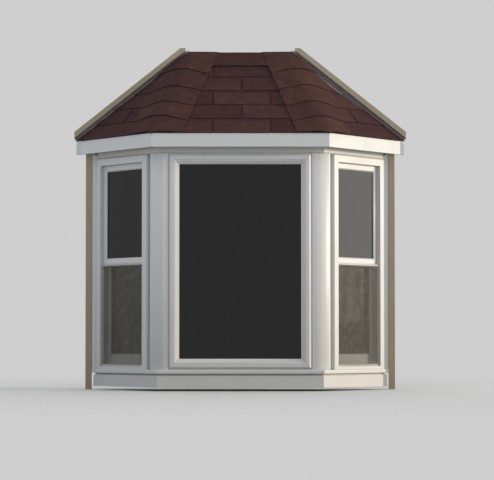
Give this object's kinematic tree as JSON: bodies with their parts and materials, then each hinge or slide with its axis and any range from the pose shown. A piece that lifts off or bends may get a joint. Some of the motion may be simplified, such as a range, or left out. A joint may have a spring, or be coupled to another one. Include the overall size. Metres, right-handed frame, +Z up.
{
  "type": "bay_window",
  "caption": "White vinyl bay window, fixed centre light between two 45 degree double-hung lights, hipped red-brown shingle roof, white fascia and skirt, beige siding channels.",
  "frame": {"origin": "Middle of the wall cleat's back face, on the wall's outer plane", "axes": "+X to the right seen from outdoors, +Y into the wall and room, +Z up"},
  "size_m": [1.7638, 0.5386, 1.814],
  "materials": {
    "vinyl": "satin",
    "timber": "raw",
    "board": "raw",
    "interior": "painted",
    "glass": "clear",
    "mesh": "woven",
    "shingle": "granular",
    "flashing": "satin",
    "channel": "matte"
  },
  "bodies": {
    "root": {"wall_cleat": "timber", "platform_rails": "timber", "underside_panel": "board", "seat_board": "interior", "skirt_front": "vinyl", "skirt_left": "vinyl", "skirt_right": "vinyl", "centre_frame": "vinyl", "centre_bead": "vinyl", "centre_glass": "glass", "side_frame_left": "vinyl", "side_frame_right": "vinyl", "upper_sash_left": "vinyl", "upper_sash_right": "vinyl", "lower_sash_left": "vinyl", "lower_sash_right": "vinyl", "screen_frame_left": "vinyl", "screen_frame_right": "vinyl", "sash_glass": "glass", "screen_mesh": "mesh", "sash_locks": "vinyl", "corner_posts": "vinyl", "wall_posts": "vinyl", "jamb_boards": "interior", "head_board": "interior", "frieze": "vinyl", "soffit": "vinyl", "fascia_front": "vinyl", "fascia_left": "vinyl", "fascia_right": "vinyl", "roof_plate": "timber", "roof_ledger": "timber", "common_rafters": "timber", "hip_rafters": "timber", "jack_rafters": "timber", "wall_rafters": "timber", "sheathing_front": "board", "sheathing_sides": "board", "shingles_front": "shingle", "shingles_left": "shingle", "shingles_right": "shingle", "hip_caps": "shingle", "ridge_strip": "shingle", "step_flashings": "flashing", "rake_channels": "channel", "side_channels": "channel"}
  },
  "joints": []
}
